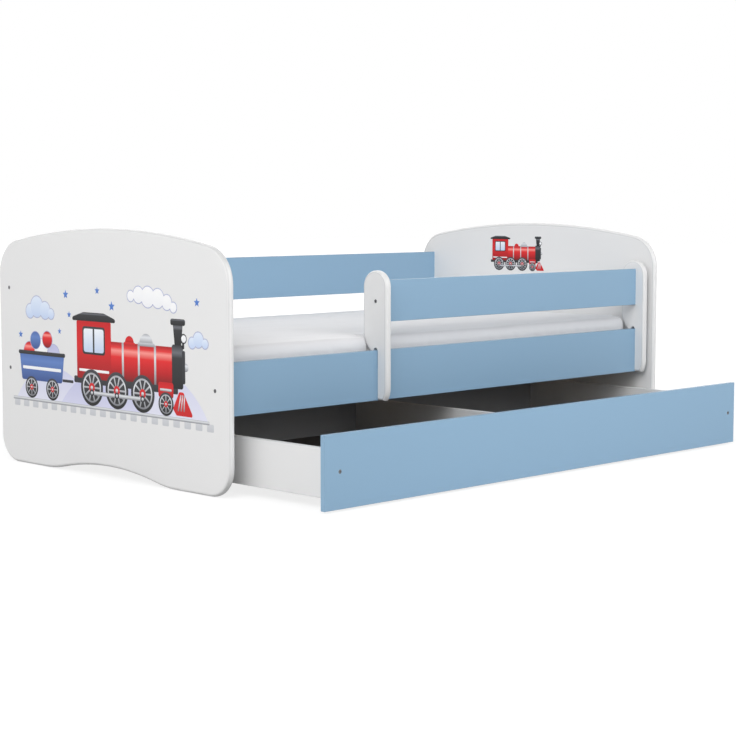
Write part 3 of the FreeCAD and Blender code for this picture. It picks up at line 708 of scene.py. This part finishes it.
def drawWagon(art):  # an open wagon, 190 long, with the rail at v 0
    art.bar((186, 54), (232, 54), 7, "dark", 4)
    balls = [
        (44, 118, 27, "red"), (96, 124, 30, "white"), (148, 117, 26, "hill"),
        (70, 150, 22, "wagon"), (122, 154, 21, "red"),
    ]
    for layer, (u, v, radius, tint) in enumerate(balls):
        art.disc(u, v, radius + 1.6, "line", 3 + layer)
        art.disc(u, v, radius, tint, 4 + layer)
    art.plate([(8, 46), (184, 46), (194, 120), (-2, 120)], 6, "wagon", 9)
    art.block(-6, 198, 112, 122, 4, "dark", 10)
    art.block(12, 180, 74, 82, 2, "white", 10)
    for u in (50, 142):
        drawWheel(art, u, 28, 28, 8, 11)


picture = {
    "railTop": 174, "railFoot": 166, "left": 64, "right": 852, "railLead": 6,
    "sleeperTop": 168, "sleeperFoot": 150, "sleeperPitch": 41, "sleeperWidth": 24,
    "hills": [(640, 40, 246, "farHill", 0), (236, 70, 190, "farHill", 0), (450, 30, 228, "hill", 1)],
    "smoke": [(724, 431, 14), (700, 442, 20), (666, 450, 25), (628, 452, 27), (592, 456, 22), (562, 452, 15)],
    "clouds": [
        [(140, 398, 20), (170, 410, 29), (206, 402, 24), (232, 394, 15)],
        [(792, 352, 15), (814, 360, 20), (838, 352, 13)],
    ],
    "stars": [
        (296, 446, 12), (310, 396, 9), (428, 460, 10), (486, 424, 13),
        (96, 336, 10), (268, 352, 8), (810, 446, 11),
    ],
    "wagonAt": (92, 1.0), "engineAt": (324, 1.08), "smallEngineAt": (294, 464, 0.5),
}


def drawFootboard(art, plan):
    for u, v, radius, tint, layer in plan["hills"]:
        art.disc(u, v, radius, tint, layer, ground=plan["railTop"])
    count = int((plan["right"] - plan["left"]) / plan["sleeperPitch"]) + 1
    for index in range(count):
        u = plan["left"] + index * plan["sleeperPitch"]
        art.block(u, u + plan["sleeperWidth"], plan["sleeperFoot"], plan["sleeperTop"], 3, "sleeper", 1)
    start = plan["left"] - plan["railLead"]
    art.block(start, plan["right"], plan["railFoot"], plan["railTop"], 2, "silver", 2)
    for cloud in plan["clouds"]:
        art.puffs(cloud, "line", "cloud", 1)
    for u, v, radius in plan["stars"]:
        art.star(u, v, radius, "star", 1)
    art.puffs(plan["smoke"], "line", "white", 2)
    for (u, scale), draw in ((plan["wagonAt"], drawWagon), (plan["engineAt"], drawEngine)):
        art.moveTo(u, plan["railTop"], scale)
        draw(art)
    return art


inks = inkFinish(film)
footLow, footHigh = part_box("footboard")
headLow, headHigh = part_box("headboard")
drawFootboard(Print(), picture).finish("footboard_print", footLow.x, footHigh.y, inks.material)
smallArt = Print()
smallArt.moveTo(*picture["smallEngineAt"])
drawEngine(smallArt)
smallArt.finish("headboard_print", headLow.x, headHigh.y, inks.material)
print("prints: footboard and headboard")


# Studio: a white floor that keeps a faint shadow, soft lamps, and the photograph's camera

studio = {
    "floorSize": 40.0, "floorDrop": 0.5 * mm, "floorRoughness": 0.9,
    "floorTone": 0.82, "bounceTone": 0.55,  # as seen, and as it throws light back
    "floorGlow": 1.12, "glowShare": 0.72, "fade": (1.1, 2.4),  # far from the bed it only glows
    "skyStrength": 0.18, "aim": (0.0, -0.1, 0.3),
    "lamps": {
        "side_softbox": {"turn": -104, "rise": 20, "distance": 6.0, "size": 5.0, "power": 84.0},
        "corner_softbox": {"turn": -62, "rise": 38, "distance": 6.0, "size": 4.0, "power": 196.0},
        "front_softbox": {"turn": 4, "rise": 27, "distance": 3.0, "size": 2.2, "power": 40.0},
        "right_softbox": {"turn": 42, "rise": 26, "distance": 3.6, "size": 2.8, "power": 15.0},
        "rear_softbox": {"turn": 170, "rise": 42, "distance": 6.0, "size": 5.5, "power": 102.0},
        "head_softbox": {"turn": 112, "rise": 26, "distance": 6.0, "size": 5.0, "power": 60.0},
        "top_softbox": {"turn": -45, "rise": 80, "distance": 6.0, "size": 5.0, "power": 12.0},
    },
}
view = {
    "place": (-3376.6, -3310.8, 673.9), "yaw": 45.097, "pitch": 5.404,
    "focalPixels": 1744.8, "framePixels": 736, "sensor": 36.0, "clipEnd": 100.0,
}


def layFloor(spec):
    bm = bmesh.new()
    matrix = Matrix.Translation((0, 0, -spec["floorDrop"]))
    bmesh.ops.create_grid(bm, x_segments=1, y_segments=1, size=spec["floorSize"] / 2, matrix=matrix)
    mesh = meshFrom(bm, "floor")
    floor = Finish("floor_finish", {"Roughness": spec["floorRoughness"], "Specular IOR Level": 0.0})
    seen = floor.seen()
    dull, light = ((tone, tone, tone, 1) for tone in (spec["bounceTone"], spec["floorTone"]))
    floor.close({"Base Color": floor.mix(seen, dull, light)})
    away = floor.node("ShaderNodeVectorMath", {"operation": "LENGTH"}, {0: floor.place}, output="Value")
    far = floor.ramp(away, *spec["fade"])
    share = seen * (spec["glowShare"] + far * (1 - spec["glowShare"]))
    floor.blend(share, floor.node("ShaderNodeEmission", {}, {"Strength": spec["floorGlow"]}))
    mesh.materials.append(floor.material)
    keepObject("floor", mesh)


def lightStudio(spec):
    white = (1, 1, 1, 1)
    world = bpy.data.worlds.new("studio")
    world.use_nodes = True
    scene.world = world
    sky = Finish(None, {"Color": white, "Strength": spec["skyStrength"]}, world.node_tree)
    sky.blend(sky.seen(), sky.node("ShaderNodeBackground", {}, {"Color": white, "Strength": 1.0}))
    for name, lamp in spec["lamps"].items():
        light = bpy.data.lights.new(name, "AREA")
        light.shape = "DISK"
        light.size = lamp["size"]
        light.energy = lamp["power"]
        piece = bpy.data.objects.new(name, light)
        turn, rise = math.radians(lamp["turn"]), math.radians(lamp["rise"])
        away = Vector((math.sin(turn) * math.cos(rise), -math.cos(turn) * math.cos(rise), math.sin(rise)))
        piece.location = Vector(spec["aim"]) + away * lamp["distance"]
        piece.rotation_euler = away.to_track_quat("Z", "Y").to_euler()
        scene.collection.objects.link(piece)


def setCamera(spec):
    data = bpy.data.cameras.new("photo_camera")
    data.sensor_width = spec["sensor"]
    data.lens = spec["sensor"] * spec["focalPixels"] / spec["framePixels"]
    data.clip_end = spec["clipEnd"]
    camera = bpy.data.objects.new("photo_camera", data)
    yaw, pitch = math.radians(spec["yaw"]), math.radians(spec["pitch"])
    ahead = Vector((math.sin(yaw) * math.cos(pitch), math.cos(yaw) * math.cos(pitch), -math.sin(pitch)))
    camera.location = Vector(spec["place"]) * mm
    camera.rotation_euler = ahead.to_track_quat("-Z", "Y").to_euler()
    scene.collection.objects.link(camera)
    scene.camera = camera


layFloor(studio)
lightStudio(studio)
setCamera(view)
scene.view_settings.view_transform = "Standard"
print("studio: floor, lamps and camera")
